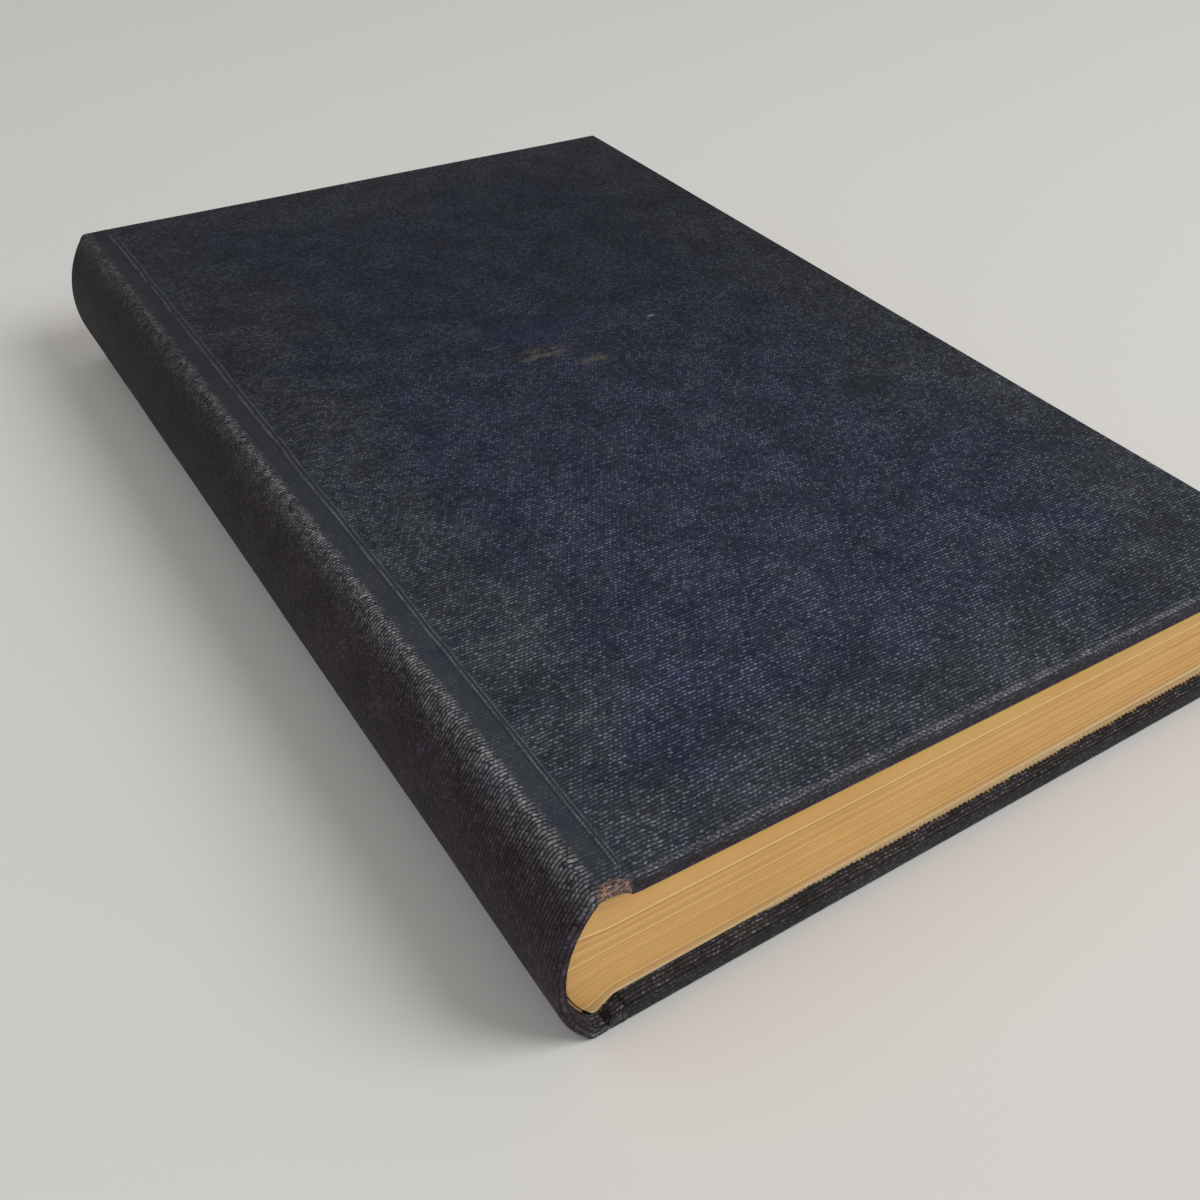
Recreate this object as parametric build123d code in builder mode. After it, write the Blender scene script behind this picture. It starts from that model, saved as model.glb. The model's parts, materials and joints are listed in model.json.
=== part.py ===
from build123d import *
import os
from math import atan, cos, degrees, sin

# A cloth-bound hardback book, closed and lying on its back cover.
# +X runs from the spine to the fore edge, +Y from the tail to the head, +Z up through the pages.
# The origin is the centre of the closed book's footprint, on the underside of the back cover.
# Every length is in millimetres.

# Overall sizes
cover_height = 222.0         # tail to head
cover_width = 145.0          # outermost point of the spine to the fore edge
spine_thickness = 31.0       # closed book beside the joints
fore_edge_thickness = 27.9   # closed book at the fore edge: the sewn back holds it open a little

# Case: two boards and a card inlay in one cloth
board_thickness = 2.55
cloth_thickness = 0.45
turn_in = 15.0               # cloth folded over the edges on to the inside
inlay_thickness = 0.8
inlay_margin = 1.5           # the inlay stops this far short of each ridge
edge_rounding = 0.9          # outer edge of the covers
groove_width = 5.4           # French groove, from the spine's ridge to the board
groove_depth = 0.9
groove_floor = 1.5           # flat bottom of the groove beside the hinge line, on the spine's half
ridge_drop = 0.15            # the spine's ridges lie this far below the covers' faces
ridge_rounding = 1.2
spine_bulge = 5.6            # the rounded spine stands this far beyond its ridges

# Text block and what holds it
square = 2.8                 # covers overhang the pages at the tail, head and fore edge
page_lift = 1.2              # the pages rise this far off the back cover at the fore edge
fore_edge_hollow = 3.0       # depth of the concave fore edge
shoulder_flat = 1.0          # flat top of each backed shoulder, centred near the hinge line
shoulder_setback = 0.8       # part of that flat on the spine's side of the hinge line
shoulder_clearance = 0.7     # the shoulder's slope ends this far before the board
hollow_gap = 0.8             # free space behind the spine card
mull_thickness = 0.2
mull_margin = 1.0            # the gauze stops this far short of the folded-in cloth at head and tail
mull_flap_width = 25.0
lining_thickness = 0.25
lining_margin = 2.5          # bare strip of gauze beside the paper lining
endpaper_thickness = 0.15
pastedown_margin = 3.3       # cloth left bare round the pastedown

# Places that follow from the sizes
groove_half = groove_width / 2
hinge_x = -cover_width / 2 + spine_bulge + groove_half
cover_length = cover_width / 2 - hinge_x
slope = atan((spine_thickness - fore_edge_thickness) / cover_length)
board_start = groove_half + cloth_thickness
board_end = cover_length - cloth_thickness
board_inside = cloth_thickness + board_thickness
turned_in_face = board_inside + cloth_thickness
page_face = turned_in_face + 2 * endpaper_thickness
page_end = cover_length - square
shoulder_face = groove_depth + cloth_thickness + mull_thickness
shoulder_end = groove_half - shoulder_clearance
page_height = cover_height - 2 * square
mull_height = cover_height - 2 * (turn_in + mull_margin)
middle_z = spine_thickness / 2
back_of_pages_x = (
    -cover_width / 2 + cloth_thickness + inlay_thickness + hollow_gap + lining_thickness + mull_thickness
)

# Each cover has a plane of its own, with its origin on the hinge line at the cover's outer face,
# x along the board to the fore edge and z into the book. The front one leans with the pages.
back_plane = Plane(origin=(hinge_x, 0, 0), x_dir=(1, 0, 0), z_dir=(0, 0, 1))
front_plane = Plane(
    origin=(hinge_x, 0, spine_thickness),
    x_dir=(cos(slope), 0, -sin(slope)),
    z_dir=(-sin(slope), 0, -cos(slope)),
)
cover_planes = {"front": front_plane, "back": back_plane}
lifts = {"front": 0.0, "back": page_lift}


def across(side, along, inward):
    """Point of the book's cross-section, given in one cover's plane, for a sketch on Plane.XZ."""
    point = cover_planes[side].from_local_coords((along, 0, inward))
    return (point.X, point.Z)


def slab(plane, start, end, height, low, high, mode=Mode.ADD):
    """Flat sheet in a cover's plane: start to end along it, low to high inwards."""
    with BuildSketch(plane.offset(low)) as outline:
        with Locations(((start + end) / 2, 0)):
            Rectangle(end - start, height)
    extrude(outline.sketch, amount=high - low, mode=mode)


def arc_band(arc, inner_offset, outer_offset, end_trim):
    """Band in the open sketch beside a spine arc, offsets outwards from it, cut short at both ends."""
    half_angle = degrees((arc.length / 2 - end_trim) / arc.radius)
    with BuildLine() as outline:
        rims = [
            CenterArc(arc.arc_center, arc.radius + offset_out, 180 - half_angle, 2 * half_angle)
            for offset_out in (inner_offset, outer_offset)
        ]
        Line(rims[0] @ 0, rims[1] @ 0)
        Line(rims[0] @ 1, rims[1] @ 1)
    make_face(outline.edges())


def save(node, label):
    """Label one finished piece and write it to its own file."""
    node.part.label = label
    export_step(node.part, f"parts/{label}.step")


os.makedirs("parts", exist_ok=True)

# The covers: a board wrapped in cloth, with a gauze flap and a pastedown on its inside.
for side, plane in cover_planes.items():
    with BuildPart() as board:
        slab(plane, board_start, board_end, cover_height - 2 * cloth_thickness, cloth_thickness, board_inside)
        outer_face = board.faces().sort_by(Axis(plane.origin, plane.z_dir))[0]
        fillet(outer_face.edges(), edge_rounding - cloth_thickness)
    save(board, f"{side}_board")

    with BuildPart() as cover_cloth:
        slab(plane, groove_half, cover_length, cover_height, 0, turned_in_face)
        outer_face = cover_cloth.faces().sort_by(Axis(plane.origin, plane.z_dir))[0]
        fillet(outer_face.edges(), edge_rounding)
        slab(plane, 0, board_start, cover_height, groove_depth, groove_depth + cloth_thickness)
        add(board.part, mode=Mode.SUBTRACT)
        slab(plane, groove_half, board_start, cover_height, groove_depth + cloth_thickness, turned_in_face,
             mode=Mode.SUBTRACT)
        slab(plane, board_start, cover_length - turn_in, cover_height - 2 * turn_in, board_inside,
             turned_in_face, mode=Mode.SUBTRACT)
    save(cover_cloth, f"{side}_cloth")

    flap_end = board_start + mull_flap_width
    with BuildPart() as mull_flap:
        slab(plane, board_start, flap_end, mull_height, board_inside, board_inside + mull_thickness)
    save(mull_flap, f"{side}_mull_flap")

    with BuildPart() as pastedown:
        slab(plane, board_start, cover_length - pastedown_margin, cover_height - 2 * pastedown_margin,
             board_inside, turned_in_face + endpaper_thickness)
        add(cover_cloth.part, mode=Mode.SUBTRACT)
        add(mull_flap.part, mode=Mode.SUBTRACT)
        window_end = cover_length - turn_in - endpaper_thickness
        window_height = cover_height - 2 * (turn_in + endpaper_thickness)
        for start, end, layer_below in (
            (board_start, flap_end + endpaper_thickness, mull_thickness),
            (flap_end + endpaper_thickness, window_end, 0),
        ):
            slab(plane, start, end, window_height, board_inside + layer_below + endpaper_thickness,
                 turned_in_face + endpaper_thickness, mode=Mode.SUBTRACT)
    save(pastedown, f"{side}_pastedown")

# The text block: rounded and backed at the spine, hollow at the fore edge, one solid of pages.
with BuildPart() as text_block:
    with BuildSketch(Plane.XZ):
        with BuildLine():
            half_outlines = {}
            for side in cover_planes:
                half_outlines[side] = Polyline(
                    across(side, -shoulder_setback, shoulder_face),
                    across(side, shoulder_flat - shoulder_setback, shoulder_face),
                    across(side, shoulder_end, page_face),
                    across(side, page_end, page_face + lifts[side]),
                )
            back_arc = ThreePointArc(
                half_outlines["back"] @ 0, (back_of_pages_x, middle_z), half_outlines["front"] @ 0
            )
            fore_corners = [half_outlines[side] @ 1 for side in cover_planes]
            fore_middle = (fore_corners[0] + fore_corners[1]) / 2
            ThreePointArc(fore_corners[0], fore_middle - Vector(fore_edge_hollow, 0), fore_corners[1])
        make_face()
    extrude(amount=page_height / 2, both=True)
save(text_block, "text_block")

# The free endpapers lie on the first and last page, from the hinge line over the shoulder.
for side in cover_planes:
    with BuildPart() as flyleaf:
        with BuildSketch(Plane.XZ):
            with BuildLine():
                Polyline(
                    across(side, 0, shoulder_face),
                    across(side, shoulder_flat - shoulder_setback, shoulder_face),
                    across(side, shoulder_end, page_face),
                    across(side, page_end, page_face + lifts[side]),
                )
                offset(amount=endpaper_thickness, side=Side.LEFT if side == "front" else Side.RIGHT)
            make_face()
        extrude(amount=page_height / 2, both=True)
    save(flyleaf, f"{side}_flyleaf")

# Gauze glued round the back of the pages, from one hinge line to the other.
with BuildPart() as spine_mull:
    with BuildSketch(Plane.XZ):
        with BuildLine():
            Line(across("back", 0, shoulder_face), back_arc @ 0)
            add(back_arc)
            Line(back_arc @ 1, across("front", 0, shoulder_face))
            offset(amount=mull_thickness, side=Side.LEFT)
        make_face()
    extrude(amount=mull_height / 2, both=True)
save(spine_mull, "spine_mull")

# Paper lining glued over the gauze.
with BuildPart() as spine_lining:
    with BuildSketch(Plane.XZ):
        arc_band(back_arc, mull_thickness, mull_thickness + lining_thickness, lining_margin)
    extrude(amount=page_height / 2, both=True)
save(spine_lining, "spine_lining")

# Spine cloth, from one hinge line to the other, folded in over the card at the head and tail.
with BuildPart() as spine_cloth:
    with BuildSketch(Plane.XZ):
        with BuildLine() as spine_line:
            ridges = [across(side, -groove_half, ridge_drop) for side in ("back", "front")]
            spine_arc = ThreePointArc(ridges[0], (-cover_width / 2, middle_z), ridges[1])
            for side, ridge in zip(("back", "front"), ridges):
                Polyline(across(side, 0, groove_depth), across(side, -groove_floor, groove_depth), ridge)
            ridge_corners = [spine_line.vertices().sort_by_distance(ridge)[0] for ridge in ridges]
            fillet(ridge_corners, ridge_rounding)
            offset(amount=cloth_thickness, side=Side.RIGHT)
        make_face()
    extrude(amount=cover_height / 2, both=True)
    fold_inside = cloth_thickness + inlay_thickness
    for end in (-1, 1):
        with BuildSketch(Plane.XZ.offset(end * cover_height / 2)):
            arc_band(spine_arc, -fold_inside - cloth_thickness, -cloth_thickness, inlay_margin)
        extrude(amount=-end * cloth_thickness)
        with BuildSketch(Plane.XZ.offset(end * cover_height / 2)):
            arc_band(spine_arc, -fold_inside - cloth_thickness, -fold_inside, inlay_margin)
        extrude(amount=-end * turn_in)
save(spine_cloth, "spine_cloth")

# Card inlay glued inside the spine cloth; the space between it and the lining is the hollow back.
with BuildPart() as spine_card:
    with BuildSketch(Plane.XZ):
        arc_band(spine_arc, -fold_inside, -cloth_thickness, inlay_margin)
    extrude(amount=cover_height / 2 - cloth_thickness, both=True)
save(spine_card, "spine_card")
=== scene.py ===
import json
import math
import random

import bmesh
import bpy
from mathutils import Matrix, Vector, noise
from mathutils.geometry import interpolate_bezier


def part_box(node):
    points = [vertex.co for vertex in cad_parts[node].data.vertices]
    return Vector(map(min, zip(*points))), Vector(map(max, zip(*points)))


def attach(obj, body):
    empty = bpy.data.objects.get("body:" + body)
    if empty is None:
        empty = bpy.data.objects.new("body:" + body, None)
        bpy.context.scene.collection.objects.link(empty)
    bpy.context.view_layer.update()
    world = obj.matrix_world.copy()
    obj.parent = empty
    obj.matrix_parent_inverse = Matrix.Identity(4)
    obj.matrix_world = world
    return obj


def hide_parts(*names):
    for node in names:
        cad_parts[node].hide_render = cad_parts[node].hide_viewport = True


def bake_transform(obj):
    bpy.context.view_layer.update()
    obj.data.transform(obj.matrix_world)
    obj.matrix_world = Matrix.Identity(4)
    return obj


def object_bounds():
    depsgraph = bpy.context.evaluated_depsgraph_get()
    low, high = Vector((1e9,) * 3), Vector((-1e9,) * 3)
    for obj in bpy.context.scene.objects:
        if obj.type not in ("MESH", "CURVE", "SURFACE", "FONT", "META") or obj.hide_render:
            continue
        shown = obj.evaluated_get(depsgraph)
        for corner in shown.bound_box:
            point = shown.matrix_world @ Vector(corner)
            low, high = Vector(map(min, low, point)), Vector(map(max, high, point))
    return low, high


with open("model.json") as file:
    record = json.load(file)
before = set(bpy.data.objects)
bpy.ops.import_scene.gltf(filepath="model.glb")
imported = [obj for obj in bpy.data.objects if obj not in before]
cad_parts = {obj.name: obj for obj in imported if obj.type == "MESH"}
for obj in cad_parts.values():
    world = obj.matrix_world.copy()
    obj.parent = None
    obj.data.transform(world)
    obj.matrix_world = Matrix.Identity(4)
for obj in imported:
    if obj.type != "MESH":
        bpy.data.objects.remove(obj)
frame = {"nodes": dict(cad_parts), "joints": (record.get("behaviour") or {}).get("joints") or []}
cad_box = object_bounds()

# A cloth-bound hardback lying on its back cover: spine on the -X side, tail towards -Y.
# Pieces are shaped in millimetres and made metres at the end. UV maps are in millimetres too:
# U runs round the case from the middle of the spine (on a pastedown, from its fold), V along the spine.
MM = 0.001

joints = {joint["name"]: Vector(joint["pos_m"]) / MM for joint in frame["joints"]}
HINGE = {"front": joints["front_cover_hinge"], "back": joints["back_cover_hinge"]}
ROOT = "pages_and_spine"

# Sizes of the case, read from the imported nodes
SPINE_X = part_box("spine_cloth")[0].x / MM
FORE_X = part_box("back_cloth")[1].x / MM
HALF_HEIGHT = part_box("back_cloth")[1].y / MM
PAGE_HALF_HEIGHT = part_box("text_block")[1].y / MM
PAGE_BACK_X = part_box("text_block")[0].x / MM
COVER_LENGTH = FORE_X - HINGE["back"].x
TAPER = 3.1                  # the book is this much thinner at the fore edge than at the joints
LEAN = math.atan(TAPER / COVER_LENGTH)
GROOVE_HALF = 2.7
COVER_THICKNESS = 3.45
TURN_IN = 15.0
BOARD_INSIDE = 3.3           # from here on the covers are board inside, not joint

ALONG = {"front": Vector((math.cos(LEAN), 0, -math.sin(LEAN))), "back": Vector((1, 0, 0))}
INWARD = {"front": Vector((-math.sin(LEAN), 0, -math.cos(LEAN))), "back": Vector((0, 0, 1))}

rng = random.Random(11)


def on_cover(side, along, inward, y=0.0):
    """A place given along a cover and inwards from its outer face, in millimetres."""
    place = HINGE[side] + ALONG[side] * along + INWARD[side] * inward
    return Vector((place.x, y, place.z))


def clamp(value):
    """The value kept between 0 and 1."""
    return max(0.0, min(1.0, value))


def colour(red, green, blue):
    """Linear colour of an sRGB one given from 0 to 255."""
    linear = []
    for level in (red, green, blue):
        share = level / 255
        linear.append(share / 12.92 if share <= 0.04045 else ((share + 0.055) / 1.055) ** 2.4)
    return (*linear, 1.0)


# ---------------------------------------------------------------- node helpers

def add_node(tree, kind, *values, named=None, **settings):
    """Add one node; values fill its sockets in order, named ones by name."""
    node = tree.nodes.new(kind)
    for name, value in settings.items():
        setattr(node, name, value)
    filled = [(node.inputs[i], value) for i, value in enumerate(values) if value is not None]
    filled += [(node.inputs[name], value) for name, value in (named or {}).items()]
    for socket, value in filled:
        if isinstance(value, bpy.types.NodeSocket):
            tree.links.new(value, socket)
        else:
            socket.default_value = value
    return node


def calc(tree, operation, *values):
    return add_node(tree, "ShaderNodeMath", *values, operation=operation).outputs[0]


def plus(tree, first, second):
    return calc(tree, "ADD", first, second)


def minus(tree, first, second):
    return calc(tree, "SUBTRACT", first, second)


def times(tree, first, *factors):
    """The first value times each factor in turn."""
    for factor in factors:
        first = calc(tree, "MULTIPLY", first, factor)
    return first


def sloped(tree, value, slope, start):
    """start + slope * value."""
    return calc(tree, "MULTIPLY_ADD", value, slope, start)


def split(tree, vector):
    return add_node(tree, "ShaderNodeSeparateXYZ", vector).outputs


def join(tree, *parts):
    return add_node(tree, "ShaderNodeCombineXYZ", *parts).outputs[0]


def ramp(tree, value, low, high, start=0.0, end=1.0):
    """Smooth step from start to end while value goes from low to high."""
    node = add_node(
        tree, "ShaderNodeMapRange", value, interpolation_type="SMOOTHSTEP",
        named={"From Min": low, "From Max": high, "To Min": start, "To Max": end},
    )
    return node.outputs[0]


def stripe(tree, value, centre, reach):
    """1 where value is at centre, falling to 0 at reach from it."""
    return ramp(tree, calc(tree, "ABSOLUTE", minus(tree, value, centre)), 0.0, reach, 1.0, 0.0)


def mix(tree, share, first, second):
    node = add_node(tree, "ShaderNodeMix", data_type="RGBA")
    for index, value in ((0, share), (6, first), (7, second)):
        if isinstance(value, bpy.types.NodeSocket):
            tree.links.new(value, node.inputs[index])
        else:
            node.inputs[index].default_value = value
    return node.outputs[2]


def cloud(tree, vector, scale, detail=3.0, roughness=0.55, distortion=0.0):
    return add_node(
        tree, "ShaderNodeTexNoise",
        named={"Vector": vector, "Scale": scale, "Detail": detail, "Roughness": roughness,
               "Distortion": distortion},
    ).outputs[0]


def stretch(tree, vector, scale):
    return add_node(tree, "ShaderNodeMapping", vector, named={"Scale": scale}).outputs[0]


def new_group(name, inputs, outputs):
    group = bpy.data.node_groups.new(name, "ShaderNodeTree")
    for socket_name, kind, value in inputs:
        socket = group.interface.new_socket(socket_name, in_out="INPUT", socket_type=kind)
        if value is not None:
            socket.default_value = value
    for socket_name, kind in outputs:
        group.interface.new_socket(socket_name, in_out="OUTPUT", socket_type=kind)
    return group, group.nodes.new("NodeGroupInput").outputs, group.nodes.new("NodeGroupOutput").inputs


def use_group(tree, group, **named):
    node = tree.nodes.new("ShaderNodeGroup")
    node.node_tree = group
    for name, value in named.items():
        socket = node.inputs[name.replace("_", " ")]
        if isinstance(value, bpy.types.NodeSocket):
            tree.links.new(value, socket)
        else:
            socket.default_value = value
    return node.outputs


def new_material(name, **shader):
    """A material with its own Principled shader; plain numbers go straight on its sockets."""
    material = bpy.data.materials.new(name)
    material.use_nodes = True
    tree = material.node_tree
    surface = next(node for node in tree.nodes if node.type == "BSDF_PRINCIPLED")
    for socket_name, value in shader.items():
        surface.inputs[socket_name.replace("_", " ")].default_value = value
    return material, tree, surface


def finish_surface(tree, surface, shade, relief, depth, strength=1.0):
    """Give a material its colour and its fine relief, depth in metres."""
    tree.links.new(shade, surface.inputs["Base Color"])
    bump = add_node(tree, "ShaderNodeBump", named={"Strength": strength, "Distance": depth, "Height": relief})
    tree.links.new(bump.outputs[0], surface.inputs["Normal"])


# ---------------------------------------------------------------- shared effects

def make_woven_threads():
    """Threads that cross in staggered rows, each row broken into short dashes of uneven strength."""
    group, given, put = new_group(
        "woven_threads",
        [("Vector", "NodeSocketVector", None), ("Pitch Across", "NodeSocketFloat", 0.8),
         ("Pitch Along", "NodeSocketFloat", 0.63), ("Wander", "NodeSocketFloat", 0.3),
         ("Crossings", "NodeSocketFloat", 0.5)],
        [("Dome", "NodeSocketFloat"), ("Strength", "NodeSocketFloat"), ("Spot", "NodeSocketFloat")],
    )
    drift = add_node(group, "ShaderNodeTexNoise",
                     named={"Vector": given["Vector"], "Scale": 0.35, "Detail": 4.0, "Roughness": 0.7})
    drift = add_node(group, "ShaderNodeSeparateColor", drift.outputs["Color"]).outputs
    place = split(group, given["Vector"])
    shift = [times(group, minus(group, drift[i], 0.5), given["Wander"]) for i in (0, 1)]
    across = plus(group, calc(group, "DIVIDE", place[0], given["Pitch Across"]), shift[0])
    along = plus(group, calc(group, "DIVIDE", place[1], given["Pitch Along"]), shift[1])
    row = calc(group, "FLOOR", along)
    half_step = times(group, calc(group, "FLOORED_MODULO", row, 2.0), 0.5)
    staggered = plus(group, across, half_step)
    column = calc(group, "FLOOR", staggered)
    cell = join(group, column, row)
    dice = add_node(group, "ShaderNodeTexWhiteNoise", cell, noise_dimensions="2D").outputs
    chance = dice["Value"]
    spot_shift = add_node(group, "ShaderNodeSeparateColor", dice["Color"]).outputs
    off_across = minus(group, minus(group, staggered, column), 0.5)
    off_along = minus(group, minus(group, along, row), 0.5)

    # Dashes: slow change along each row, unlike the rows beside it
    run = join(group, times(group, across, 0.8), times(group, row, 7.31))
    dash = ramp(group, cloud(group, run, 1.0, 2.0, 0.6), 0.32, 0.66)
    row_top = minus(group, 1.0, calc(group, "POWER", times(group, off_along, 2.1), 2.0))
    column_top = minus(group, 1.0, calc(group, "POWER", times(group, off_across, 2.2), 2.0))
    column_top = times(group, calc(group, "MAXIMUM", column_top, 0.0), given["Crossings"])
    crossing = plus(group, column_top, minus(group, 1.0, given["Crossings"]))
    dome = times(group, calc(group, "MAXIMUM", row_top, 0.0), crossing)
    dome = times(group, dome, sloped(group, dash, 0.8, 0.4))

    spot_across = minus(group, off_across, sloped(group, spot_shift[1], 0.5, -0.25))
    spot_along = minus(group, off_along, sloped(group, spot_shift[2], 0.4, -0.2))
    spot = minus(group, 1.0, calc(group, "POWER", times(group, spot_across, 3.0), 2.0))
    spot = minus(group, spot, calc(group, "POWER", times(group, spot_along, 4.8), 2.0))
    group.links.new(dome, put["Dome"])
    group.links.new(chance, put["Strength"])
    group.links.new(calc(group, "MAXIMUM", spot, 0.0), put["Spot"])
    return group


def make_aged_paper():
    """Slow clouds and fine fibres for every paper and card of the book."""
    group, given, put = new_group(
        "aged_paper",
        [("Vector", "NodeSocketVector", None), ("Cloud Scale", "NodeSocketFloat", 30.0),
         ("Fibre Scale", "NodeSocketFloat", 2500.0)],
        [("Cloud", "NodeSocketFloat"), ("Fibre", "NodeSocketFloat")],
    )
    group.links.new(cloud(group, given["Vector"], given["Cloud Scale"], 5.0, 0.6), put["Cloud"])
    group.links.new(cloud(group, given["Vector"], given["Fibre Scale"], 3.0, 0.6, 1.0), put["Fibre"])
    return group


WOVEN_THREADS = make_woven_threads()
AGED_PAPER = make_aged_paper()


# ---------------------------------------------------------------- section of the case

def circle_through(first, middle, last):
    """Centre and radius of the circle through three places of the X-Z section."""
    ax, az, bx, bz, cx, cz = first.x, first.z, middle.x, middle.z, last.x, last.z
    double_area = 2 * (ax * (bz - cz) + bx * (cz - az) + cx * (az - bz))
    a2, b2, c2 = ax * ax + az * az, bx * bx + bz * bz, cx * cx + cz * cz
    centre_x = (a2 * (bz - cz) + b2 * (cz - az) + c2 * (az - bz)) / double_area
    centre_z = (a2 * (cx - bx) + b2 * (ax - cx) + c2 * (bx - ax)) / double_area
    centre = Vector((centre_x, 0, centre_z))
    return centre, (first - centre).length


RIDGE_ALONG = -GROOVE_HALF
RIDGE_DROP = 0.15
SPINE_MIDDLE = Vector((SPINE_X, 0, HINGE["front"].z / 2))
ARC_CENTRE, ARC_RADIUS = circle_through(
    on_cover("back", RIDGE_ALONG, RIDGE_DROP), SPINE_MIDDLE, on_cover("front", RIDGE_ALONG, RIDGE_DROP)
)
SHELL_THICKNESS = 1.3        # spine cloth, card and folded-in cloth
ARC_COLUMNS = 24
RIDGE_COLUMNS = 9
BOARD_COLUMNS = 38
FOLD_COLUMNS = 8
ARC_SHORT_OF_RIDGE = 1.7     # the spine's arc turns into the ridge this far before it

# The groove and the crease beside the board: along and inwards of the outer skin, then the inner.
# At the head and tail the cloth is drawn up out of the groove by the lift, and the folded cloth fills
# the groove from inside, up to the level. Both are given for the front cover, then the back one.
GROOVE_STATIONS = (
    ((-0.95, 0.42), (-0.95, 1.10), (0.25, 0.25), (1.75, 1.72)),
    ((-0.30, 0.45), (-0.30, 1.12), (0.30, 0.30), (1.76, 1.74)),
    ((0.02, 0.46), (0.02, 1.13), (0.32, -0.10), (1.77, 1.18)),
    ((0.36, 0.47), (0.36, 1.14), (0.33, -0.10), (1.78, 1.20)),
    ((0.62, 0.48), (0.62, 1.15), (0.34, 0.34), (1.82, 2.40)),
    ((1.10, 0.49), (1.10, 1.18), (0.36, 0.36), (1.95, 2.68)),
    ((1.70, 0.52), (1.70, 1.22), (0.40, 0.40), (2.12, 2.92)),
    ((2.05, 0.55), (2.05, 1.30), (0.43, 0.43), (2.28, 3.04)),
    ((2.30, 0.56), (2.30, 1.38), (0.42, 0.42), (2.42, 3.11)),
    ((2.48, 0.40), (2.55, 1.42), (0.30, 0.30), (2.60, 3.17)),
    ((2.64, 0.17), (2.80, 1.44), (0.12, 0.12), (2.78, 3.22)),
    ((2.82, 0.07), (2.98, 1.46), (0.03, 0.03), (2.92, 3.26)),
    ((3.05, 0.09), (3.08, 1.80), (0.02, 0.02), (3.02, 3.29)),
    ((3.30, 0.03), (3.12, 2.60), (0.0, 0.0), (3.10, 3.32)),
    ((3.60, 0.00), (3.15, 3.30), (0.0, 0.0), (3.18, 3.35)),
    ((4.05, 0.00), (3.40, 3.45), (0.0, 0.0), (3.28, 3.39)),
    ((4.70, 0.00), (4.50, 3.45), (0.0, 0.0), (3.42, 3.43)),
)
END_FILL = 0.6               # the folded-in cloth at the ends of the spine's shell


def steps_from(start, span, count):
    """Places that divide a span into equal steps, without its start."""
    return [start + span * i / count for i in range(1, count + 1)]


def section_stations(side):
    """The case from the middle of the spine to the fore edge.

    Each station is the outer place, the inner place, their roundings, and the lift and fill at the ends.
    """
    lift = 1.0 if side == "front" else -1.0
    which = 0 if side == "front" else 1
    ridge = on_cover(side, RIDGE_ALONG, RIDGE_DROP)
    ridge_angle = math.atan2((ridge - ARC_CENTRE).z * lift, -(ridge - ARC_CENTRE).x)
    arc_end = ridge_angle - ARC_SHORT_OF_RIDGE / ARC_RADIUS
    stations = []
    for i in range(ARC_COLUMNS + 1):
        angle = arc_end * i / ARC_COLUMNS
        spoke = Vector((-math.cos(angle), 0, math.sin(angle) * lift))
        outer = ARC_CENTRE + spoke * ARC_RADIUS
        stations.append([outer, outer - spoke * SHELL_THICKNESS, 0.5, 0.35, 0.0, END_FILL])
    spoke = Vector((-math.cos(arc_end), 0, math.sin(arc_end) * lift))
    tangent = Vector((math.sin(arc_end), 0, math.cos(arc_end) * lift))
    outer_start, inner_start = stations[-1][0], stations[-1][1]
    first_groove = GROOVE_STATIONS[0]
    outer_goal = on_cover(side, *first_groove[0])
    inner_goal = on_cover(side, *first_groove[1])
    into_groove = -(ALONG[side] * 0.95 + INWARD[side] * 0.16)
    outer_curve = interpolate_bezier(
        outer_start, outer_start + tangent * 1.75, outer_goal + into_groove * 1.6, outer_goal,
        RIDGE_COLUMNS + 1,
    )
    inner_curve = interpolate_bezier(
        inner_start, inner_start + tangent * 0.75, inner_goal + into_groove * 1.0, inner_goal,
        RIDGE_COLUMNS + 1,
    )
    groove_fill = first_groove[3][which] - first_groove[1][1]
    for i, (outer, inner) in enumerate(list(zip(outer_curve, inner_curve))[1:]):
        share = (i + 1) / RIDGE_COLUMNS
        stations.append([outer, inner, 0.3, 0.2, first_groove[2][which] * share ** 2,
                         END_FILL + (groove_fill - END_FILL) * share])
    for outer, inner, lifts, levels in GROOVE_STATIONS[1:]:
        on_board = clamp((outer[0] - 2.6) / 0.8)
        stations.append([on_cover(side, *outer), on_cover(side, *inner), 0.3 + 0.55 * on_board,
                         0.2 + 0.25 * on_board, lifts[which], levels[which] - inner[1]])
    start = GROOVE_STATIONS[-1][0][0]
    fold_end = COVER_LENGTH - TURN_IN
    places = steps_from(start, fold_end - 1.2 - start, BOARD_COLUMNS)
    places += [fold_end - 0.6, fold_end, fold_end + 0.6]
    places += steps_from(fold_end + 0.6, TURN_IN - 1.5, FOLD_COLUMNS)
    for along in places:
        stations.append([on_cover(side, along, 0), on_cover(side, along, COVER_THICKNESS), 0.85, 0.45,
                         0.0, 0.0])
    return stations


def crease_distance(side):
    """Length of cloth from the middle of the spine to the crease beside the board."""
    stations = section_stations(side)
    total = 0.0
    for before, after in zip(stations, stations[1:]):
        total += (after[0] - before[0]).length
        if (after[0] - HINGE[side]).dot(ALONG[side]) > 2.5:
            return total
    return total


CREASE = crease_distance("back")
RIDGE = CREASE - 2 * GROOVE_HALF + 0.1


def end_spacing(half, steps, fine):
    """Places from -half to half, closer together towards both ends."""
    ends = [half - offset for offset in fine]
    inner_limit = ends[-1]
    middle = steps_from(-inner_limit, 2 * inner_limit, steps)[:-1]
    return [-place for place in ends] + middle + list(reversed(ends))


def unevenness(x, y, z, amount, size):
    return noise.noise(Vector((x, y, z)) / size) * amount


INNER_CALM = 0.6             # the covers are this much flatter inside than outside
FLAT_JOINT = 6.0             # their waviness grows from nothing over this far from the hinge line


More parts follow.
